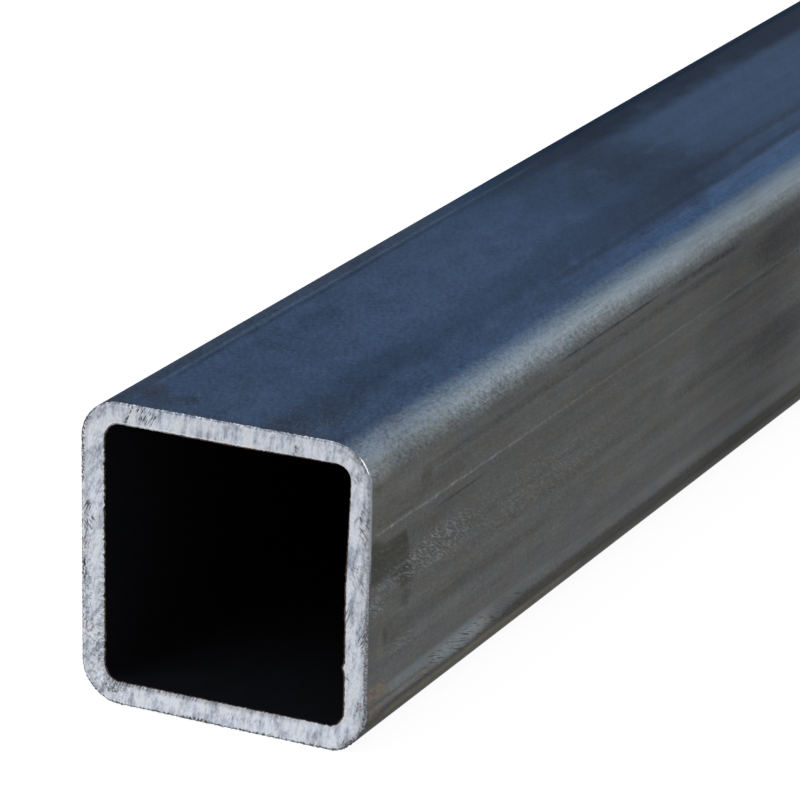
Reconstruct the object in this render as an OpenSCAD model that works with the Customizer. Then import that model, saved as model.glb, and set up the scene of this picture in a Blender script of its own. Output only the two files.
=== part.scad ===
// Cold-formed square hollow section, 40 x 40 x 3 mm: one length of welded steel
// tube, sawn square at both ends. It lies along Y on one of its flats, and its
// origin is at the middle of its underside.

/* [Section] */
// Outside width and height across the flats
side = 40; // [25:1:100]
// Thickness of the rolled strip, the same in the flats and round the bends
wall = 3; // [1.5:0.5:5]
// Inside radius of the four bends
bend_r = 2.25; // [1:0.25:4]

/* [Length] */
// Length from one saw cut to the other
tube_length = 1000; // [100:10:6000]

/* [Saw cuts] */
// Width of the bevel on the outer rim of each cut
outer_break = 0.3; // [0.1:0.05:0.6]
// Width of the bevel on the rim of each cut inside the hollow
inner_break = 0.2; // [0.1:0.05:0.6]

/* [Hidden] */
$fn = 96;
// Strip bent round the inside radius, so the wall holds its thickness
outer_r = bend_r + wall;
hollow = side - 2 * wall;
// How far a cutter stands clear of the face that it cuts through
clear = 0.1;

// A square of the given width with round corners
module rounded_square(width, corner_r) {
    straight = width - 2 * corner_r;
    square([width, straight], center = true);
    square([straight, width], center = true);
    for (x = [-1, 1], y = [-1, 1])
        translate([x * straight / 2, y * straight / 2]) circle(corner_r);
}

// The ring of metal that the rolls leave, seen on the end
module section() {
    difference() {
        rounded_square(side, outer_r);
        rounded_square(hollow, bend_r);
    }
}

// Half-section of a 45 degree bevel: u runs across the wall, away from the metal,
// and v along the tube, into it. The cut face is v = 0 and the wall's skin is u = 0.
function bevel_outline(bevel, away) =
    [[-away * (bevel + clear), -clear], [away * clear, -clear], [away * clear, bevel + clear]];

// Cutter that runs round a rim: a straight on each flat and a quarter turn at each bend
module rim_cutter(width, corner_r, bevel, away) {
    straight = width - 2 * corner_r;
    for (turn = [0 : 3]) rotate(90 * turn) {
        translate([width / 2, straight / 2, 0])
            rotate([90, 0, 0]) linear_extrude(straight)
                polygon(bevel_outline(bevel, away));
        translate([straight / 2, straight / 2, 0])
            rotate_extrude(angle = 90) translate([corner_r, 0])
                polygon(bevel_outline(bevel, away));
    }
}

// Both rims of the cut at z = 0, broken by the file
module broken_rims() {
    rim_cutter(side, outer_r, outer_break, 1);
    rim_cutter(hollow, bend_r, inner_break, -1);
}

// The tube, standing on one cut
module standing_tube() {
    difference() {
        linear_extrude(tube_length) section();
        broken_rims();
        translate([0, 0, tube_length]) mirror([0, 0, 1]) broken_rims();
    }
}

module square_tube() {
    color([0.34, 0.37, 0.41])
        translate([0, tube_length / 2, side / 2]) rotate([90, 0, 0]) standing_tube();
}

square_tube();
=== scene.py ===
import math

import bpy
from mathutils import Matrix, Vector


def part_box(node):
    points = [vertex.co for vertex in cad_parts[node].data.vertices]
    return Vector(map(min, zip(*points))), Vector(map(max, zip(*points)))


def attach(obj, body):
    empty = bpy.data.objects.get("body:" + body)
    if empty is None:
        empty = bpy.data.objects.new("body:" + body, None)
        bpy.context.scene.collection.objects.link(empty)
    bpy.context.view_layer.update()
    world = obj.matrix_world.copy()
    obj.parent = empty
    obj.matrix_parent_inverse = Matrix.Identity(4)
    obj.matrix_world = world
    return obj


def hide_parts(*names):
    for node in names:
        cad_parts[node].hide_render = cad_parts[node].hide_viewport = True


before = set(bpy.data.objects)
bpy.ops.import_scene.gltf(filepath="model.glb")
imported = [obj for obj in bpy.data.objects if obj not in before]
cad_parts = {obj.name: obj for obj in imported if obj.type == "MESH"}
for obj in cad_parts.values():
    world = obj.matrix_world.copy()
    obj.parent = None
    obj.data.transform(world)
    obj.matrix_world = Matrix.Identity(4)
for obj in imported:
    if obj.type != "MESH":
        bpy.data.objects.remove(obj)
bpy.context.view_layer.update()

tube_low, tube_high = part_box("square_tube")

# The camera stands to the right of the sawn end and above it, and looks back along the
# tube through a long lens, so that the long edges close in only slowly.
section_middle = (tube_low.z + tube_high.z) / 2
cut_centre = Vector((0, tube_low.y, section_middle))
camera_from_cut = Vector((0.25725, -0.48180, 0.21105))
camera_turn = math.radians(25.858)
camera_tilt = math.radians(18.992)
camera_roll = math.radians(1.075)

bpy.ops.object.camera_add()
camera = bpy.context.object
camera.name = "camera"
camera.matrix_world = (
    Matrix.Translation(cut_centre + camera_from_cut)
    @ Matrix.Rotation(camera_turn, 4, "Z")
    @ Matrix.Rotation(math.radians(90) - camera_tilt, 4, "X")
    @ Matrix.Rotation(camera_roll, 4, "Z")
)
camera.data.lens = 213.9
camera.data.sensor_width = 36
camera.data.clip_start = 0.01
bpy.context.scene.camera = camera

# The tube. One strip of steel is rolled into a square, welded along its seam and sawn
# across at both ends, which leaves rims that are hardly broken. It is modelled from the
# near cut to the middle, and mirrored.
side = tube_high.x - tube_low.x
half_length = (tube_high.y - tube_low.y) / 2
wall = 0.003
outer_bend = 0.00525
outer_break = 0.0001
inner_break = 0.0001
half_flat = side / 2 - outer_bend
flat_steps = 240
bend_steps = 48
wall_steps = 12
rows = (0.0005, 0.0008, 0.0013, 0.0025, 0.006, 0.02, 0.1, 0.317, half_length)
same_place = 2e-5


def depth_in_wall(place):
    """How far a point lies under the skin: 0 on the outside, the wall's thickness inside."""
    across = abs(place.x) - half_flat
    up = abs(place.z - section_middle) - half_flat
    round_the_bend = math.hypot(max(across, 0), max(up, 0))
    return outer_bend - round_the_bend - min(max(across, up), 0)


def behind_cut(place):
    """How far a point lies behind the nearer of the two sawn ends."""
    return half_length - abs(place.y)


def select_edges(wanted):
    """Selects the edges in edit mode that pass a test of their middle and length."""
    bpy.ops.mesh.select_mode(type="EDGE")
    bpy.ops.mesh.select_all(action="DESELECT")
    bpy.ops.object.mode_set(mode="OBJECT")
    mesh = bpy.context.object.data
    for edge in mesh.edges:
        ends = [mesh.vertices[index].co for index in edge.vertices]
        edge.select = wanted((ends[0] + ends[1]) / 2, (ends[0] - ends[1]).length)
    bpy.ops.object.mode_set(mode="EDIT")


bpy.ops.object.select_all(action="DESELECT")
bpy.ops.mesh.primitive_plane_add(
    size=side, location=cut_centre + Vector((0, outer_break, 0)), rotation=(math.radians(90), 0, 0)
)
tube = bpy.context.object
tube.name = "square_tube_steel"
bpy.ops.object.transform_apply(location=True, rotation=True, scale=True)

# The section: four bends, flats in short steps, and rings across the wall. A flat is cut
# in two rounds, because one round makes 100 cuts at most.
bpy.ops.object.mode_set(mode="EDIT")
bpy.ops.mesh.bevel(offset=outer_bend, segments=bend_steps, affect="VERTICES", profile=0.5)
bpy.ops.mesh.delete(type="ONLY_FACE")
select_edges(lambda middle, length: length > half_flat)
second_cuts = 3
bpy.ops.mesh.subdivide(number_cuts=flat_steps // (second_cuts + 1) - 1)
bpy.ops.mesh.subdivide(number_cuts=second_cuts)
bpy.ops.mesh.select_all(action="SELECT")
bpy.ops.mesh.edge_face_add()
bpy.ops.mesh.select_mode(type="FACE")
bpy.ops.object.mode_set(mode="OBJECT")
looks_backwards = tube.data.polygons[0].normal.y > 0
bpy.ops.object.mode_set(mode="EDIT")
if looks_backwards:
    bpy.ops.mesh.flip_normals()
bpy.ops.mesh.inset(thickness=outer_break, depth=outer_break)
for _ in range(wall_steps):
    bpy.ops.mesh.inset(thickness=(wall - outer_break - inner_break) / wall_steps, depth=0)
bpy.ops.mesh.inset(thickness=inner_break, depth=-inner_break)
bpy.ops.mesh.delete(type="ONLY_FACE")

# The skin and the hollow run back from the two rims, in rows that grow longer.
for reached, is_skin in ((outer_break, True), (inner_break, False)):
    select_edges(
        lambda middle, length: abs(behind_cut(middle) - reached) < same_place
        and (depth_in_wall(middle) < wall / 2) == is_skin
    )
    for row in rows:
        bpy.ops.mesh.extrude_region_move(TRANSFORM_OT_translate={"value": (0, row - reached, 0)})
        reached = row
bpy.ops.object.mode_set(mode="OBJECT")
bpy.ops.object.modifier_add(type="MIRROR")
mirror = tube.modifiers[-1]
mirror.use_axis = (False, True, False)
mirror.merge_threshold = 1e-5
bpy.ops.object.modifier_apply(modifier=mirror.name)

# Each vertex keeps its depth in the wall, in millimetres, for the finishes of the torn rims.
to_mm = 1000
kept_depth = tube.data.attributes.new("wall_depth", "FLOAT", "POINT")
for vertex in tube.data.vertices:
    kept_depth.data[vertex.index].value = depth_in_wall(vertex.co) * to_mm

# Skin, sawn faces and hollow take three finishes, handed out by place.
skin_slot, sawn_slot, hollow_slot = range(3)
for _ in range(3):
    bpy.ops.object.material_slot_add()
for face in tube.data.polygons:
    if abs(face.normal.y) > 0.5:
        face.material_index = sawn_slot
    elif depth_in_wall(face.center) > wall / 2:
        face.material_index = hollow_slot
    else:
        face.material_index = skin_slot

# A map rolls the skin out flat, the first 317 mm at a larger scale than the rest, and lays
# the sawn ends and the hollow beside it. Places on it are in pixels of a map 1024 wide, and
# scales in pixels a metre.
map_width = 1024
near_end_middle = (164, 844)
far_end_middle = (492, 844)
end_scale = 8000
hollow_corner = (660, 684)
hollow_scale_along = 355
hollow_scale_round = 2400
fine_length = rows[-2]
fine_corner = (4, 4)
fine_scale = 3200
rest_corner = (4, 495)
rest_scale = 1200
places_on_map = []


def rolled_out(place, middle, radius):
    """How far round the tube a point lies, counted from the lower left bend. The face's
    middle tells which of the four sides it is on."""
    up = place.z - section_middle
    middle_up = middle.z - section_middle
    if abs(middle_up) > abs(middle.x):
        turns, along, out = (0, place.x, -up) if middle_up < 0 else (2, -place.x, up)
    else:
        turns, along, out = (1, up, place.x) if middle.x > 0 else (3, -up, -place.x)
    past_flat = abs(along) - half_flat
    if past_flat > 0:
        along = math.copysign(half_flat + radius * math.atan2(past_flat, out - half_flat), along)
    return (turns + 0.5) * 2 * (half_flat + radius * math.pi / 4) + along


for face in tube.data.polygons:
    middle = face.center
    for index in face.vertices:
        place = tube.data.vertices[index].co
        reached = place.y - tube_low.y
        if face.material_index == sawn_slot:
            corner = near_end_middle if middle.y < 0 else far_end_middle
            across = place.x * end_scale
            up = (place.z - section_middle) * end_scale
        elif face.material_index == hollow_slot:
            corner = hollow_corner
            across = reached * hollow_scale_along
            up = rolled_out(place, middle, outer_bend - wall) * hollow_scale_round
        elif middle.y - tube_low.y < fine_length:
            corner = fine_corner
            across = reached * fine_scale
            up = rolled_out(place, middle, outer_bend) * fine_scale
        else:
            corner = rest_corner
            across = (reached - fine_length) * rest_scale
            up = rolled_out(place, middle, outer_bend) * rest_scale
        places_on_map += [(corner[0] + across) / map_width, (corner[1] + up) / map_width]
map_for_baking = tube.data.uv_layers.new(name="OFBake")
map_for_baking.uv.foreach_set("vector", places_on_map)


def ramp_between(value, start, end):
    """0 at the start and before it, 1 at the end and past it, a straight slope between."""
    return min(max((value - start) / (end - start), 0), 1)


def displace(name, weight_at, axis, strength, cloud=None):
    """Moves the tube's vertices, each by its own weight, along an axis or by a cloud."""
    group = tube.vertex_groups.new(name=name)
    for vertex in tube.data.vertices:
        weight = weight_at(vertex.co)
        if weight > 0:
            group.add([vertex.index], weight, "REPLACE")
    bpy.ops.object.modifier_add(type="DISPLACE")
    mover = tube.modifiers[-1]
    mover.texture = cloud
    mover.texture_coords = "LOCAL"
    mover.direction = axis
    mover.mid_level = 0.5 if cloud else 0
    mover.strength = strength
    mover.vertex_group = group.name
    bpy.ops.object.modifier_apply(modifier=mover.name)


# The strip isn't quite the same all round: the wall is a little thicker on the left and
# low on the right, and thinner high on the right and towards both upper bends, of which the
# right one is the tightest inside. Each function below weighs the vertices of one such
# place. On an inner face the weight starts and is full this far from the tube's middle.
face_starts = 0.0145
face_full = 0.0168


def in_hollow(place):
    return ramp_between(depth_in_wall(place), wall * 0.6, wall)


def low_right(place):
    on_face = ramp_between(place.x, face_starts, face_full)
    up = place.z - section_middle
    return in_hollow(place) * on_face * ramp_between(up, 0.0085, 0.0015)


def all_left(place):
    return in_hollow(place) * ramp_between(-place.x, face_starts, face_full)


def high_right(place):
    up = place.z - section_middle
    return in_hollow(place) * ramp_between(place.x, 0.0125, 0.0165) * ramp_between(up, 0.008, 0.016)


def high_corners(place):
    on_face = ramp_between(place.z - section_middle, face_starts, face_full)
    return in_hollow(place) * on_face * ramp_between(abs(place.x), 0.002, 0.012)


def tight_bend(place):
    from_middle = 0.0163
    corner = Vector((from_middle, place.y, section_middle + from_middle))
    return in_hollow(place) * ramp_between((place - corner).length, 0.0017, 0.0003)


for name, weight_at, axis, strength in (
    ("low_right", low_right, "X", -0.0003),
    ("all_left", all_left, "X", 0.00035),
    ("high_right", high_right, "X", 0.00035),
    ("high_corners", high_corners, "Z", 0.00012),
    ("tight_bend_X", tight_bend, "X", 0.00022),
    ("tight_bend_Z", tight_bend, "Z", 0.00022),
):
    displace(name, weight_at, axis, strength)

# The saw leaves both rims ragged, the inner one in small teeth on the left. It pushes up
# one burr on the inner right rim, and along the bottom it drags a thin lip of metal down.
rim_width = 0.0003
lip_height = 0.0003
burr_x = 0.0167
burr_up = -0.0091


def cloud_of(name, lump):
    """A cloud texture with lumps of the given size."""
    cloud = bpy.data.textures.new(name, "CLOUDS")
    cloud.cloud_type = "COLOR"
    cloud.noise_scale = lump
    return cloud


def outer_rim(place):
    reach = math.hypot(depth_in_wall(place), behind_cut(place))
    return ramp_between(reach, 2 * rim_width, rim_width)


def inner_rim(place):
    """The whole inner rim, at its fullest along the upright left wall."""
    reach = math.hypot(wall - depth_in_wall(place), behind_cut(place))
    upright = ramp_between(half_flat - abs(place.z - section_middle), 0, 0.002)
    roughest = 0.4 + 0.6 * ramp_between(-place.x, 0.014, 0.016) * upright
    return ramp_between(reach, 2 * rim_width, rim_width) * roughest


def sawn_face(place):
    return ramp_between(behind_cut(place), rim_width, 0)


def lip(place):
    """The outer rim under the tube, more and more of it towards the right."""
    reach = math.hypot(depth_in_wall(place), behind_cut(place))
    underside = ramp_between(section_middle - place.z, half_flat + 0.004, half_flat + 0.005)
    return ramp_between(reach, 0.00045, 0.0002) * underside * ramp_between(place.x, -0.03, 0.012)


def burr(place):
    up = place.z - section_middle
    reach = math.hypot(up - burr_up, place.x - burr_x, behind_cut(place))
    return ramp_between(reach, 0.0008, 0.0001)


fine_cloud = cloud_of("fine_cloud", 0.00028)
coarse_cloud = cloud_of("coarse_cloud", 0.00045)
for name, weight_at, axis, strength, cloud in (
    ("ragged_rim", outer_rim, "RGB_TO_XYZ", 0.0002, fine_cloud),
    ("teeth", inner_rim, "RGB_TO_XYZ", 0.00045, coarse_cloud),
    ("saw_marks", sawn_face, "RGB_TO_XYZ", 0.00008, fine_cloud),
    ("burr", burr, "X", -0.0003, None),
    ("lip", lip, "Z", -lip_height, None),
):
    displace(name, weight_at, axis, strength, cloud)
bpy.ops.object.mode_set(mode="EDIT")
bpy.ops.mesh.select_all(action="SELECT")
bpy.ops.mesh.normals_make_consistent(inside=False)
bpy.ops.object.mode_set(mode="OBJECT")
bpy.ops.object.shade_smooth_by_angle(angle=math.radians(35))


class Paint:
    """An output of a shader node, or a tree that is still empty. A sign between two of them,
    or with a number, adds a Math node, and a Vector Math node where one is a colour."""

    def __init__(self, tree, output=None):
        self.tree = tree
        self.output = output

    def node(self, kind, settings, inputs, result=0):
        """Adds a node, sets it up, fills its sockets, and gives one of its outputs."""
        made = self.tree.nodes.new(kind)
        for name, value in settings.items():
            if name == "stops":
                for step, (position, shade) in enumerate(value):
                    ends = made.color_ramp.elements
                    stop = ends[step] if step < len(ends) else ends.new(position)
                    stop.position = position
                    stop.color = shade
            else:
                setattr(made, name, value)
        for name, value in inputs.items():
            if isinstance(value, Paint):
                self.tree.links.new(value.output, made.inputs[name])
            else:
                made.inputs[name].default_value = value
        return Paint(self.tree, made.outputs[result] if made.outputs else None)

    def sign(self, operation, first, second=0):
        coloured = [side for side in (first, second)
                    if isinstance(side, Paint) and side.output.type != "VALUE"]
        if not coloured:
            return self.node("ShaderNodeMath", {"operation": operation}, {0: first, 1: second})
        if operation == "MULTIPLY" and len(coloured) == 1:
            factor = second if coloured[0] is first else first
            inputs = {0: coloured[0], "Scale": factor}
            return self.node("ShaderNodeVectorMath", {"operation": "SCALE"}, inputs)
        return self.node("ShaderNodeVectorMath", {"operation": operation}, {0: first, 1: second})

    def __add__(self, other):
        return self.sign("ADD", self, other)

    def __sub__(self, other):
        return self.sign("SUBTRACT", self, other)

    def __mul__(self, other):
        return self.sign("MULTIPLY", self, other)

    def __truediv__(self, other):
        return self.sign("DIVIDE", self, other)

    def __rsub__(self, other):
        return self.sign("SUBTRACT", other, self)

    def __abs__(self):
        return self.sign("ABSOLUTE", self)

    __radd__ = __add__
    __rmul__ = __mul__

    def low(self, other):
        return self.sign("MINIMUM", self, other)

    def high(self, other):
        return self.sign("MAXIMUM", self, other)

    def ease(self, start, end):
        """0 on the start's side, 1 on the end's side, and a smooth step between them."""
        inputs = {"Value": self, "From Min": start, "From Max": end}
        return self.node("ShaderNodeMapRange", {"interpolation_type": "SMOOTHSTEP"}, inputs)

    def within(self, low, high, soft):
        """1 from low to high, and 0 past a soft border on either side."""
        return self.ease(low - soft, low + soft) * self.ease(high + soft, high - soft)

    def line(self, at, half_width):
        """1 along a thin line at a value, and 0 beside it."""
        return abs(self - at).ease(half_width * 1.6, half_width * 0.4)

    def noise(self, size, turn=(0, 0, 0), shift=0, detail=2, roughness=0.5):
        """Noise round this place, in lumps of a size along X, Y and Z, turned by degrees."""
        settings = {"vector_type": "TEXTURE"}
        inputs = {"Vector": self, "Location": (shift, shift, shift),
                  "Rotation": [math.radians(angle) for angle in turn], "Scale": size}
        lumps = self.node("ShaderNodeMapping", settings, inputs)
        inputs = {"Vector": lumps, "Scale": 1, "Detail": detail, "Roughness": roughness}
        return self.node("ShaderNodeTexNoise", {}, inputs)

    def mix(self, first, second):
        """The first colour where this is 0 and the second where it is 1. The node has sockets
        of one name for numbers and for colours: 6, 7 and the output 2 are the colours'."""
        return self.node("ShaderNodeMix", {"data_type": "RGBA"}, {0: self, 6: first, 7: second}, 2)

    def ramp(self, stops):
        return self.node("ShaderNodeValToRGB", {"stops": stops}, {"Fac": self})


def colour(red, green, blue):
    """A colour as a paint chart gives it, 0 to 255, made linear."""
    linear = []
    for part in (red / 255, green / 255, blue / 255):
        linear.append(part / 12.92 if part < 0.04045 else ((part + 0.055) / 1.055) ** 2.4)
    return tuple(linear) + (1,)


def new_finish(name):
    """A material with an empty node tree, and in it the place on the tube in millimetres."""
    finish = bpy.data.materials.new(name)
    finish.use_nodes = True
    finish.node_tree.nodes.clear()
    start = Paint(finish.node_tree)
    place = start.node("ShaderNodeTexCoord", {}, {}, "Object")
    return finish, place * to_mm


def split(place):
    """X, distance behind the near cut, and height above the section's middle, in millimetres."""
    inputs = {"Vector": place}
    x, y, z = [place.node("ShaderNodeSeparateXYZ", {}, inputs, axis) for axis in range(3)]
    return x, y - tube_low.y * to_mm, z - section_middle * to_mm


def finish_surface(place, base, roughness, relief, relief_height, plain):
    """The steel's shader: plain holds what is the same all over it."""
    inputs = {"Strength": 1, "Distance": relief_height, "Height": relief}
    bump = place.node("ShaderNodeBump", {}, inputs)
    inputs = {"Base Color": base, "Roughness": roughness, "Normal": bump}
    shader = place.node("ShaderNodeBsdfPrincipled", {}, inputs | plain)
    place.node("ShaderNodeOutputMaterial", {}, {"Surface": shader})


def smudge(first, second, middle, reach, ragged, lean=0):
    """1 inside an ellipse and 0 outside, with a torn border: first and second are the two
    coordinates, and ragged is the noise that tears it."""
    second = second - middle[1]
    first = (first - middle[0] - second * lean) / reach[0]
    second = second / reach[1]
    return (first * first + second * second + ragged).ease(1.7, 0.2)


# The skin: mill scale, painted with the blue of a sky reflection on the level flats, the grey of a
# ground reflection on the upright ones, and a pale painted highlight on the upper right bend, where
# the scale is also rubbed. The rollers have drawn fine lines along it, and it is scuffed.
skin, place = new_finish("mill_scale_skin")
x, back, up = split(place)
crumbs = place.noise((0.5, 0.8, 0.5), detail=3, roughness=0.6)
clouds = place.noise((4, 7, 4), shift=3, detail=3)
lines = place.noise((0.4, 7, 0.4), shift=5, detail=3, roughness=0.6)
bands = place.noise((2.2, 60, 2.2), shift=71, detail=2)
swept = place.noise((0.5, 2.4, 0.5), turn=(0, 0, 28), shift=51, detail=2)
sweeps = place.noise((2.2, 12, 2.2), turn=(0, 0, 28), shift=57, detail=2)
wander = (place.noise((6, 40, 6), shift=17) - 0.5) * 1.2
pieces = place.noise((0.5, 3, 0.5), shift=23)
bits = place.noise((0.5, 0.9, 0.5), shift=61).ease(0.35, 0.65)
falling = place.noise((0.3, 1.7, 0.2), turn=(-30, 0, 0), shift=29, detail=1)
torn = (crumbs - 0.5) * 3
across = x + wander
height = up + wander * 0.5
top = up.ease(19.2, 19.8)
right = x.ease(19.2, 19.8)
handled = back.ease(130, 30)

# Painted reflections: the blue stands for the sky on the level flats, the grey for the ground on
# the upright ones.
blue = colour(56, 77, 106)
grey = colour(89, 90, 89)
fall = abs(up) - abs(x) + torn * 0.4 + (falling - 0.5) * 0.8 + (clouds - 0.5) * 1.2
zones = fall.node("ShaderNodeMapRange", {}, {"Value": fall, "From Min": -10, "From Max": 10})
dull_bend = zones.ramp([(0.24, grey), (0.5, colour(54, 61, 73)), (0.74, blue)])
# The upper right bend is painted with its highlight, brighter and wider farther from the cut.
near_bend_highlight = zones.ramp([
    (0.0, grey),
    (0.237, colour(90, 93, 94)),
    (0.292, colour(95, 99, 103)),
    (0.354, colour(109, 118, 123)),
    (0.421, colour(107, 116, 122)),
    (0.491, colour(96, 106, 117)),
    (0.6, colour(91, 102, 117)),
    (0.635, colour(86, 99, 117)),
    (0.693, colour(64, 81, 106)),
    (0.75, blue),
])
far_bend_highlight = zones.ramp([
    (0.0, grey),
    (0.237, colour(90, 92, 93)),
    (0.292, colour(101, 106, 108)),
    (0.33, colour(113, 120, 124)),
    (0.387, colour(121, 130, 137)),
    (0.43, colour(117, 127, 135)),
    (0.491, colour(102, 113, 122)),
    (0.561, colour(87, 100, 115)),
    (0.635, colour(78, 94, 116)),
    (0.68, colour(63, 83, 110)),
    (0.75, blue),
])
# The ramps with the painted highlight take over towards the upper right.
bend = (x + up).ease(26, 31)
base = bend.mix(dull_bend, back.ease(8, 38).mix(near_bend_highlight, far_bend_highlight))

# The level flat: a stronger blue along its middle and beside the right bend, a dark rolled
# band, and a left edge that is greyer at the cut and dark farther back.
middle_blue = back.within(36, 96, 12) * top * across.ease(14, 11) * across.ease(-11, -7)
base = (middle_blue * 0.8).mix(base, colour(60, 82, 112))
band = (across + (sweeps - 0.5) * 6).within(5, 10.7, 1.8) * top * back.ease(175, 120)
base = (band * 0.85).mix(base, colour(46, 64, 90))
unseen = back.ease(240, 420)
strip = across.within(12.7, 16.5, 0.8) * top * back.ease(70, 115) * (1 - 0.5 * unseen)
base = (strip * 0.9).mix(base, colour(66, 92, 128))
edge = across.ease(-13.6, -14.8) * top
base = (edge * 0.7).mix(base, colour(56, 67, 83))
far_edge = (across - back.ease(125, 150) * 2).ease(-10, -13) * back.ease(84, 114) * up.ease(9, 13)
edge_blue = back.ease(114, 142).mix(colour(36, 57, 83), colour(20, 38, 60))
base = (far_edge * (0.93 - 0.5 * unseen)).mix(base, edge_blue)

# Lines along it, each with its place, its half width, where it begins and ends behind the
# cut, its strength and its colour, and then spots, each with its middle and its reach.
for at, width, begins, ends, strength, drawn in (
    (-14.2, 0.3, 9, 118, 0.5, colour(74, 97, 124)),
    (-13.4, 0.4, 12, 135, 0.7, colour(42, 56, 79)),
    (11.7, 0.7, 70, 160, 0.6, colour(40, 53, 76)),
    (9.8, 0.9, 96, 130, 0.5, colour(50, 62, 80)),
    (7.5, 0.7, 118, 260, 0.6, colour(42, 54, 74)),
):
    mark = across.line(at, width) * top * back.within(begins, ends, 5) * pieces.ease(0.25, 0.5)
    base = (mark * strength).mix(base, drawn)
for middle, reach, strength, stain in (
    ((-2, 4), (6, 12), 0.4, colour(66, 86, 112)),
    ((-13, 6.3), (1.0, 2.0), 0.5, colour(60, 58, 62)),
    ((-10.5, 3.5), (3.4, 3.4), 0.6, colour(47, 55, 68)),
    ((-7.5, 29), (2.4, 2), 0.35, colour(46, 62, 86)),
    ((-8, 40), (2.8, 6), 0.45, colour(45, 63, 90)),
    ((9, 4), (6, 5), 0.4, colour(50, 62, 80)),
    ((10.5, 13), (2.6, 12), 0.35, colour(46, 60, 82)),
    ((-3, 130), (15, 9), 0.5, colour(39, 56, 82)),
    ((12.3, 106), (1.8, 16), 0.6, colour(42, 56, 80)),
    ((0, 105), (17, 24), 0.35, colour(48, 72, 104)),
    ((8, 50), (3, 14), 0.3, colour(60, 86, 120)),
    ((10.5, 133), (2, 7), 0.4, colour(66, 92, 126)),
    ((7, 92), (4, 16), 0.3, colour(44, 58, 82)),
    ((5, 72), (5, 22), 0.25, colour(58, 82, 114)),
    ((-4, 170), (8, 30), 0.35, colour(60, 87, 120)),
):
    spot = smudge(x, back, middle, reach, (clouds - 0.5) * 4 + torn * 0.5) * top
    base = (spot * strength).mix(base, stain)
freckled = x.within(4, 16, 2) * back.ease(24, 4) * top
for shift, freckle in ((41, colour(88, 92, 90)), (43, colour(62, 60, 62))):
    freckles = place.noise((0.3, 0.9, 0.3), turn=(0, 0, 28), shift=shift, detail=1).ease(0.58, 0.72)
    base = (freckles * freckled * 0.5).mix(base, freckle)
# Just behind the cut the level flat is darkened in mottled patches: painted shade.
patches = place.noise((0.5, 0.6, 0.5), shift=45, detail=2).ease(0.4, 0.6)
painted_rim_shade = back.ease(2, 0.7) * top * patches
base = (painted_rim_shade * 0.6).mix(base, colour(62, 64, 70))

# The upright flat. A dark oily stain lies at the cut, under a long light scratch.
warm = smudge(up, back, (12.5, 8), (5, 15), (clouds - 0.5) * 4) * right
base = (warm * 0.4).mix(base, colour(99, 98, 94))
stain_foot = up - 2 + (back - 6).high(0).low(3.2) * 0.9
stain_end = 10.5 - back + (5.75 - up) * 0.3 - torn * 0.12
stain_top = 6.3 - up + torn * 0.12 + back.ease(4.5, 1.5) * 1.1
stained = stain_foot.ease(-0.8, 0.5) * stain_end.ease(-0.4, 0.4) * stain_top.ease(-0.5, 0.4) * right
base = (stained * back.ease(0.4, 0.8) * 0.8).mix(base, colour(66, 66, 62))
scratch_path = up + back * 0.005 + (clouds - 0.5) * 0.25
scratch = scratch_path.line(8.15, 0.2) * right * back.within(2.5, 150, 4)
kept = (0.3 + 0.7 * pieces.ease(0.38, 0.58)) * back.ease(52, 26) * 0.5 + back.ease(26, 46) * 0.2
base = (scratch * kept * (0.25 + 0.9 * bits)).mix(base, colour(142, 147, 149))
for at, width, begins, ends, strength, drawn in (
    (8.8, 0.3, 4, 13, 0.4, colour(70, 69, 64)),
    (12.5, 0.55, 18, 110, 0.5, colour(64, 65, 64)),
    (14.75, 0.2, 56, 87, 0.6, colour(46, 48, 52)),
    (14.4, 0.5, 93, 116, 0.7, colour(56, 58, 61)),
    (6.45, 0.16, 20, 32, 0.6, colour(60, 59, 57)),
    (7, 0.5, 113, 136, 0.5, colour(62, 64, 66)),
    (9.8, 0.8, 13, 25, 0.3, colour(70, 71, 70)),
    (2.2, 0.7, 88, 260, 0.35, colour(102, 104, 106)),
    (1, 1.8, 92, 150, 0.45, colour(101, 102, 104)),
    (-1.8, 1, 95, 260, 0.4, colour(66, 67, 69)),
    (-4.3, 1.2, 8, 84, 0.4, colour(104, 105, 104)),
    (-6.8, 0.5, 78, 260, 0.35, colour(100, 102, 103)),
    (-8.3, 1, 14, 84, 0.45, colour(103, 105, 107)),
    (-8.4, 1.2, 118, 150, 0.4, colour(68, 69, 71)),
    (-10.3, 0.5, 58, 120, 0.4, colour(68, 68, 66)),
    (-6.1, 0.6, 20, 52, 0.3, colour(72, 72, 70)),
):
    mark = height.line(at, width) * right * back.within(begins, ends, 3) * pieces.ease(0.2, 0.5)
    base = (mark * strength * (0.7 + 0.6 * bits)).mix(base, drawn)
for middle, reach, strength, stain in (
    ((14.2, 2.3), (0.9, 0.8), 0.4, colour(78, 68, 58)),
    ((11.9, 15.8), (1.2, 1.8), 0.45, colour(62, 63, 61)),
    ((6.8, 6.5), (0.5, 2.6), 0.4, colour(100, 94, 86)),
    ((-2.7, 10.3), (1.1, 1.3), 0.5, colour(66, 64, 59)),
    ((-5.8, 4.6), (0.8, 1), 0.4, colour(72, 66, 58)),
    ((-6.8, 3.4), (2.4, 0.9), 0.35, colour(114, 108, 98)),
    ((10.5, 137), (3.5, 14), 0.7, colour(64, 65, 68)),
    ((-4, 134), (2.8, 12), 0.6, colour(65, 66, 70)),
    ((-10.3, 15), (1.1, 9), 0.4, colour(99, 100, 102)),
):
    spot = smudge(up, back, middle, reach, torn * 0.7) * right
    base = (spot * strength).mix(base, stain)

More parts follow.
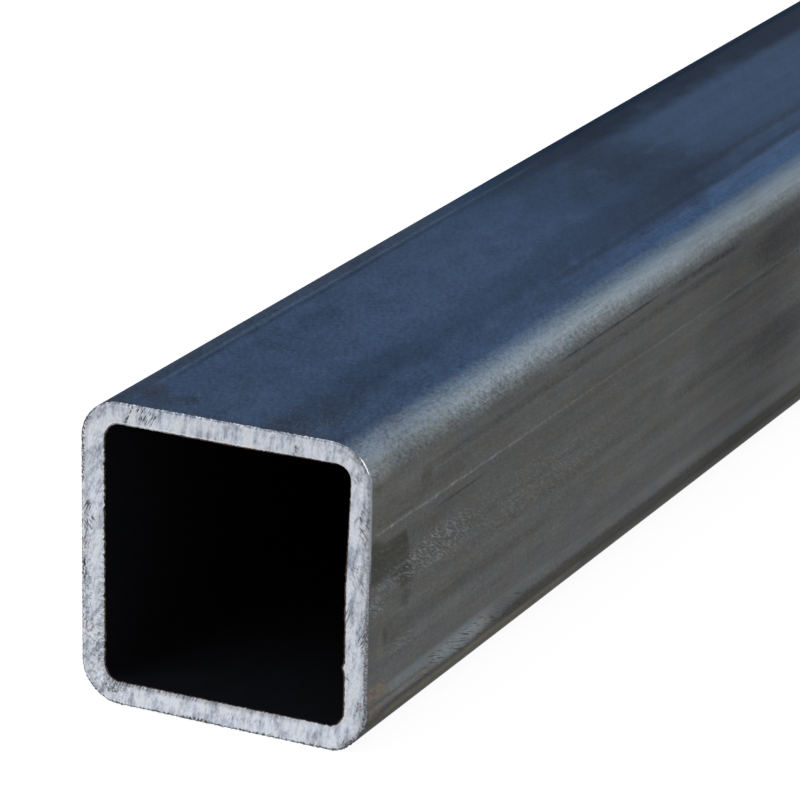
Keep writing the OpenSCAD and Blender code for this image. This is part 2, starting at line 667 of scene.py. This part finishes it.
# Scuffs: short bright scratches that fall away from the cut, thickest below the stain's end.
scuffed = smudge(up, back, (1.5, 19), (2.2, 11), clouds - 0.5)
scuffed = scuffed.high(smudge(up, back, (1, 7), (1.4, 5), clouds - 0.5) * 0.45)
scuffed = scuffed.high(smudge(up, back, (-1.2, 2.5), (1.6, 2.4), clouds - 0.5) * 0.6)
scuffed = scuffed.high(smudge(up, back, (-8.4, 10), (0.9, 5), clouds - 0.5) * 0.7)
scuffed = scuffed.high(smudge(up, back, (0, 46), (3, 28), clouds - 0.5) * 0.25)
nicks = place.noise((0.3, 1.2, 0.15), turn=(-28, 0, 0), shift=39, detail=1)
scuffs = nicks.ease(0.46, 0.7) * (scuffed + 0.14).low(1) * right
base = (scuffs * 0.45).mix(base, colour(150, 157, 162))

# Low on that flat runs a pale rubbed strip, scored across, and then the lower bend, dull
# and brownish, with a little rust at the cut.
lower_part = height.ease(-5, -10) * right
base = (lower_part * 0.5).mix(base, colour(96, 98, 99))
low_strip = (height + torn * 0.4).within(-14.5, -12.4, 0.4) * right
base = (low_strip * back.within(5, 36, 4) * 0.8).mix(base, colour(117, 123, 127))
base = (low_strip * back.ease(28, 44) * back.ease(150, 125) * 0.75).mix(base, colour(103, 106, 108))
brightest = smudge(up, back, (-14.1, 26), (1.2, 8), torn * 1.4) * right
base = (brightest * 0.4).mix(base, colour(152, 161, 166))
under_top = -15.5 + back.ease(34, 44) * 1.2
under = (up - under_top + torn * 0.3).ease(0.6, -0.5) * x.ease(10, 16)
base = (under * 0.9).mix(base, colour(72, 72, 69))
scores = place.noise((0.3, 3.2, 0.22), turn=(-18, 0, 0), shift=33, detail=1).ease(0.54, 0.68)
scored = up.within(-15.6, -13, 0.5) * back.within(12, 46, 4) * x.ease(16, 18)
base = (scores * scored * 0.65).mix(base, colour(58, 60, 63))
for at, width, begins, ends, strength, drawn in (
    (-14.1, 0.25, 2, 18, 0.35, colour(68, 66, 60)),
    (-14.7, 0.35, 1, 19, 0.6, colour(124, 123, 116)),
    (-16.3, 0.5, 5, 64, 0.6, colour(112, 106, 94)),
    (-17.4, 0.4, 14, 60, 0.5, colour(98, 92, 80)),
    (-15.8, 0.3, 40, 150, 0.4, colour(52, 53, 54)),
):
    mark = up.line(at, width) * x.ease(14, 17) * back.within(begins, ends, 2)
    mark = mark * pieces.ease(0.2, 0.45)
    base = (mark * strength).mix(base, drawn)
rust = smudge(up, back, (-12.6, 2.4), (1.3, 3.4), torn) * right
rust = rust.high(smudge(up, back, (-15.2, 1.6), (0.8, 2.4), torn) * 0.6 * x.ease(14, 17))
base = (rust * falling.ease(0.35, 0.6) * 0.65).mix(base, colour(130, 114, 94))

# At the cut the saw has rounded the right rim. Above the middle a painted highlight lights that
# rim, and a painted glint shines on the upper right bend.
worn_rim = smudge(up, back, (16, 3), (1.5, 3.4), torn) * x.ease(17, 18.5)
base = (worn_rim * 0.3).mix(base, colour(132, 136, 138))
painted_lit_rim = (back + torn * 0.12).ease(0.75, 0.35) * right * up.ease(2, 6)
base = (painted_lit_rim * 0.75).mix(base, colour(152, 160, 165))
painted_glint = (back + torn * 0.12).ease(0.4, 0.2) * x.within(18.4, 19.7, 0.2) * up.within(16.6, 18.4, 0.3)
base = painted_glint.mix(base, colour(253, 254, 255))

# Duller lengths, and the grain all over, which is coarser near the cut. The painted highlight on
# the upper right bend gets painted sparkle, more colourful there, and streaks, and it dims farther
# back. The upright flat is warmer here and cooler there, and the upper left bend is matt.
# The band of the painted highlight, which is streaked and is not dulled.
painted_highlight_band = (x + up).ease(31.5, 33.5) * up.ease(14.9, 16.4)
dull_lengths = place.noise((60, 70, 60), shift=91, detail=2).ease(0.5, 0.6) * unseen * 0.7
dull = back.within(106, 138, 12).high(dull_lengths) * (1 - painted_highlight_band)
grain = (0.5 + 0.5 * handled) * (1 - 0.45 * right)
tone = 1 - 0.24 * dull + (1.2 * (crumbs - 0.5) + 0.5 * (clouds - 0.5)) * grain
tone = tone + (0.1 + 0.2 * right) * (lines - 0.5) + (0.25 + 0.2 * right) * (bands - 0.5)
tone = tone + (top * (swept - 0.5) * 0.6 + right * (falling - 0.5) * 0.35) * grain
tone = tone + top * (sweeps - 0.5) * 0.3
# Painted sparkle in the highlight on the upper right bend, and the highlight's painted dimming far
# back.
painted_sparkle = (x + up).ease(34.2, 36) * x.ease(15, 17) * (0.3 + 0.7 * handled)
highlight_fading = back.ease(80, 104) * x.within(18.6, 19.7, 0.3) * up.ease(15.5, 16.5)
tone = tone + painted_sparkle * ((falling - 0.5) * 0.65 + (crumbs - 0.5) * 0.35) - 0.12 * highlight_fading
tone = tone + painted_highlight_band * (lines - 0.5) * 0.45
base = base * tone
inputs = {"Vector": place, "Scale": 3.2, "Detail": 1}
motley = place.node("ShaderNodeTexNoise", {}, inputs, "Color") - (0.5, 0.5, 0.5)
base = base + base * motley * (0.24 * (0.2 + 0.8 * handled) + 0.4 * painted_sparkle)
warmth = place.noise((3, 6, 3), shift=83, detail=3).ease(0.35, 0.65)
tinge = warmth.mix((0.975, 1, 1.03, 1), (1.03, 1, 0.97, 1))
base = base * right.mix((1, 1, 1, 1), tinge)
left_bend = x.ease(-14.4, -16) * up.ease(9, 14)
roughness = 0.36 + 0.2 * crumbs + 0.3 * left_bend
finish_surface(
    place, base, roughness, relief=crumbs * grain + 0.3 * lines, relief_height=0.00003,
    plain={"Metallic": 1, "Specular Tint": (0.5, 0.5, 0.5, 1)},
)

# The sawn faces: bright bare steel with the saw's slanting strokes, and dark torn rims.
sawn, place = new_finish("sawn_steel")
x, _, up = split(place)
depth = place.node("ShaderNodeAttribute", {"attribute_name": "wall_depth"}, {}, "Fac")
left_wall = x.ease(-15.5, -17.5)
right_wall = x.ease(15.5, 17.5)
top_wall = up.ease(15.5, 17.5)
bottom_wall = up.ease(-15.5, -17.5)
upright = place.noise((0.7, 1, 3.2), turn=(0, 6, 0), detail=2)
leaning = place.noise((0.7, 1, 2.6), turn=(0, 27, 0), shift=11, detail=2)
strokes = upright + (leaning - upright) * left_wall
mottle = place.noise((2.2, 1, 2.6), turn=(0, 20, 0), shift=7, detail=2)
crumbs = place.noise((0.32, 1, 0.7), turn=(0, 12, 0), shift=13, detail=2)
grains = place.noise((0.28, 1, 0.32), shift=27, detail=1)
rising = place.noise((0.2, 1, 1.3), turn=(0, 28, 0), shift=31, detail=1).ease(0.5, 0.6)
falling = place.noise((0.2, 1, 1.1), turn=(0, -38, 0), shift=19, detail=1).ease(0.5, 0.6)
torn = (crumbs - 0.5) * 3
cloudy = colour(120, 128, 141)
bright = colour(206, 212, 222)
brushed = strokes * 0.45 + mottle * 0.3 + crumbs * 0.25
base = brushed.ease(0.31, 0.58).mix(cloudy, bright)
base = (mottle.ease(0.45, 0.65) * 0.3).mix(base, colour(208, 203, 201))

# The left wall is the roughest: specks on the outer side of its lower half, and blotches
# below them and round the bend.
specks = smudge(x, up, (-19.4, -5), (0.9, 6), torn * 0.5)
blotches = smudge(x, up, (-18.4, -13), (1.9, 4.5), torn * 0.5).high(
    smudge(x, up, (-16.4, -17.6), (3.8, 1.6), torn * 0.5))
pits = grains.ease(0.47, 0.36) * (0.12 + 0.88 * specks)
base = (pits * 0.8).mix(base, colour(84, 86, 92))
lumps = place.noise((0.6, 1, 0.7), turn=(0, 40, 0), shift=37, detail=2)
base = (lumps.ease(0.5, 0.36) * blotches * 0.6).mix(base, colour(84, 88, 96))
sparks = grains.ease(0.58, 0.68) * (0.16 + 0.6 * specks.high(blotches * 0.6).high(right_wall * 0.2))
base = (sparks * depth.ease(0.1, 0.5) * 0.7).mix(base, colour(243, 246, 250))

# The inner rim: a cream line above, a dark hatched band below, and on the left, and less on
# the right, the strokes where the saw has torn it.
cream = depth.within(2.62, 2.72, 0.06) * top_wall * (0.25 + 0.75 * x.ease(8, -9))
base = (cream * 0.6).mix(base, colour(236, 230, 220))
dark_band = (depth + torn * 0.25).ease(2.1, 2.8) * bottom_wall
dark_band = dark_band * (0.4 + 0.6 * rising) * x.ease(22, -4)
base = (dark_band * 0.9).mix(base, colour(72, 66, 64))
inner_teeth = (depth + torn * 0.2).ease(2.5, 2.88) * (left_wall + right_wall * 0.3)
base = (inner_teeth * rising * 0.65).mix(base, colour(98, 98, 102))
comb = place.noise((1.4, 1, 0.22), shift=47, detail=0).ease(0.5, 0.62)
comb = comb * (depth + torn * 0.3).ease(2.0, 2.7) * left_wall * up.ease(2, -6)
base = (comb * 0.55).mix(base, colour(88, 90, 97))

# The four walls aren't equally bright, and they dim towards the outer rim.
base = base * (1 - 0.055 * top_wall.high(right_wall) + 0.045 * bottom_wall)
upright_wall = left_wall.high(right_wall)
base = base * (1 - depth.within(0.45, 0.95, 0.15) * (0.16 * upright_wall + 0.06 * top_wall))
base = base * (1 - 0.22 * depth.ease(0.5, 0.35) * right_wall)

# A thin brown fringe runs round the hollow, faintest at the upper left.
low_left = left_wall.high(bottom_wall)
fringe = (depth + torn * 0.08 - 0.12 * low_left).ease(2.74, 2.84)
fringe = fringe * (1 - 0.6 * top_wall * x.ease(-5, -11))
base = (fringe * 0.95).mix(base, low_left.mix(colour(70, 44, 20), colour(44, 34, 28)))

# The outer rim: ragged dark bits on the right, a dark dashed line below, on the left a thin
# brown one, burnt spots round the upper left bend, and on top bits of the blue scale.
rim = depth + torn * 0.12
ragged = (rim - 0.25 * up.ease(2, -4)).ease(0.45, 0.15) * right_wall
ragged = ragged * (0.45 + 0.55 * grains.ease(0.6, 0.4))
base = (ragged * (0.45 + 0.4 * up.ease(3, -4))).mix(base, colour(72, 74, 77))
hem = rim.ease(0.26, 0.14) * bottom_wall * (0.5 + 0.5 * crumbs.ease(0.62, 0.45))
base = (hem * 0.9).mix(base, colour(66, 68, 72))
left_line = rim.ease(0.22, 0.1) * left_wall * (0.3 + 0.6 * crumbs.ease(0.6, 0.42))
base = (left_line * 0.8).mix(base, colour(92, 84, 78))
burnt = rim.ease(0.55, 0.3) * x.ease(-16, -17.5) * up.within(9, 18.2, 0.7) * grains.ease(0.56, 0.46)
base = (burnt * 0.9).mix(base, colour(58, 48, 44))
top_bits = rim.ease(0.36, 0.1) * top_wall * (0.4 + 0.6 * crumbs.ease(0.6, 0.42))
base = (top_bits * 0.7).mix(base, colour(84, 96, 114))

# Marks of their own: torn places, hatches where the blade has skidded, and dirt. Each is
# hatched by strokes that rise or fall to the right, or it is speckled.
soot = colour(62, 56, 54)
rusty = colour(110, 86, 66)
grime = colour(112, 110, 112)
speckled = grains.ease(0.62, 0.4)
for middle, reach, lean, hatch, strength, tint in (
    ((-13.3, 18.6), (0.2, 1.3), 0.45, speckled, 0.95, soot),
    ((-11.2, 19.1), (1.6, 0.8), 0, rising, 0.9, soot),
    ((-10.4, 18.5), (1.3, 0.8), 0.4, rising, 0.8, soot),
    ((-16.9, 19.5), (1.2, 0.5), 0, rising, 0.6, grime),
    ((9.9, 18.2), (0.2, 0.5), 0, speckled, 1, rusty),
    ((9.5, 17.4), (0.18, 0.3), 0, speckled, 0.9, soot),
    ((6.2, 17.6), (0.4, 0.3), 0, rising, 0.6, grime),
    ((17.7, 18), (1.1, 0.9), 0, falling, 0.4, rusty),
    ((18.2, 15.9), (1.1, 0.7), 0, falling, 0.6, grime),
    ((19.2, 10), (0.6, 2.6), 0, falling, 0.8, soot),
    ((18.5, 4.2), (1.3, 0.5), 0, speckled, 0.6, grime),
    ((18.6, 2.4), (1.0, 1.5), -0.5, falling, 0.7, grime),
    ((17.4, -2.2), (0.6, 1.5), 0, rising, 0.7, soot),
    ((19.2, -4.5), (0.6, 1.7), 0, rising, 0.8, soot),
    ((17.2, -10.3), (0.5, 0.7), -0.4, falling, 0.9, rusty),
    ((18.9, -13.8), (0.5, 0.6), 0, speckled, 0.6, rusty),
    ((17.6, -18.9), (1.2, 0.5), 0, rising, 0.9, soot),
    ((-19.2, 5.6), (0.7, 1.2), 0.2, rising, 0.8, soot),
    ((-18.9, 3.4), (0.7, 1.4), 0.2, falling, 0.9, soot),
    ((-19.3, 1.0), (0.6, 1.5), 0, rising, 0.8, rusty),
    ((-19.6, -2.5), (0.25, 1.6), 0, speckled, 1, soot),
    ((-18.6, 11.5), (1.3, 2.4), 0.4, rising, 0.35, grime),
    ((-15.5, -18), (1.4, 0.7), 0, speckled, 0.6, soot),
    ((-3.5, -19.9), (2.2, 0.2), 0, speckled, 0.9, soot),
    ((3, -18.6), (3, 0.5), 0.5, rising, 0.4, grime),
):
    spot = smudge(x, up, middle, reach, torn * 0.8, lean)
    base = (spot * hatch * strength).mix(base, tint)
finish_surface(
    place, base, roughness=0.42 + 0.3 * strokes,
    relief=strokes + 0.6 * crumbs + 0.3 * grains, relief_height=0.00006,
    plain={"Metallic": 1, "Specular Tint": (0.8, 0.8, 0.8, 1)},
)

# The hollow: dark scale, painted near-black for the shade that no light gets far into.
inside, place = new_finish("hollow_scale_and_shade")
film = place.noise((1.5, 6, 1.5), detail=3)
base = film.mix(colour(8, 9, 12), colour(17, 18, 23))
finish_surface(
    place, base, roughness=0.85, relief=film, relief_height=0.00002,
    plain={"Metallic": 0, "Specular IOR Level": 0.05},
)

for slot, finish in zip(tube.material_slots, (skin, sawn, inside)):
    slot.material = finish

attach(tube, "root")
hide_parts("square_tube")

# The floor: a plain white sheet, on which the tube stands by the saw's lips. They are ragged,
# so they hang up to a quarter lower than their height. The camera and anything shiny see the
# sheet nearly white by itself, and the tube's shadow falls on it.
lowest_lip = tube_low.z - 1.25 * lip_height
bpy.ops.mesh.primitive_plane_add(size=20, location=(0, 0, lowest_lip))
floor = bpy.context.object
floor.name = "floor"
white_sheet = bpy.data.materials.new("white_sheet")
white_sheet.use_nodes = True
white_sheet.node_tree.nodes.clear()
start = Paint(white_sheet.node_tree)


def seen_straight(start):
    """1 for rays from the camera, from a glossy surface or through a clear one."""
    rays = [start.node("ShaderNodeLightPath", {}, {}, name)
            for name in ("Is Camera Ray", "Is Glossy Ray", "Is Transmission Ray")]
    return rays[0].high(rays[1]).high(rays[2])


matt = start.node("ShaderNodeBsdfDiffuse", {}, {"Color": (0.9, 0.9, 0.9, 1)})
glow = start.node("ShaderNodeEmission", {}, {"Color": (1, 1, 1, 1), "Strength": 1.1})
glowing_share = seen_straight(start) * 0.85
sheet = start.node("ShaderNodeMixShader", {}, {0: glowing_share, 1: matt, 2: glow})
start.node("ShaderNodeOutputMaterial", {}, {"Surface": sheet})
floor.data.materials.append(white_sheet)

# The light: an even white room, dimmer for what isn't shiny, a broad lamp in front and
# one behind to the right, whose gleam runs along the upper right bend.
world = bpy.data.worlds.new("room")
bpy.context.scene.world = world
world.use_nodes = True
world.node_tree.nodes.clear()
start = Paint(world.node_tree)
dim = start.node("ShaderNodeBackground", {}, {"Color": (1, 1, 1, 1), "Strength": 0.6})
full = start.node("ShaderNodeBackground", {}, {"Color": (1, 1, 1, 1), "Strength": 1})
room = start.node("ShaderNodeMixShader", {}, {0: seen_straight(start), 1: dim, 2: full})
start.node("ShaderNodeOutputWorld", {}, {"Surface": room})


def add_lamp(name, toward, distance, size, power):
    """A square lamp that shines on the cut's middle from the given direction."""
    direction = Vector(toward).normalized()
    bpy.ops.object.light_add(type="AREA", location=cut_centre + direction * distance)
    lamp = bpy.context.object
    lamp.name = name
    lamp.rotation_euler = direction.to_track_quat("Z", "Y").to_euler()
    lamp.data.size = size
    lamp.data.energy = power
    lamp.visible_camera = False


add_lamp("back_lamp", toward=(0.325, 0.851, 0.412), distance=2.5, size=1.2, power=7)
add_lamp("front_lamp", toward=(-0.5, -0.8, 1.0), distance=2.5, size=1.5, power=25)

bpy.context.scene.view_settings.view_transform = "Standard"
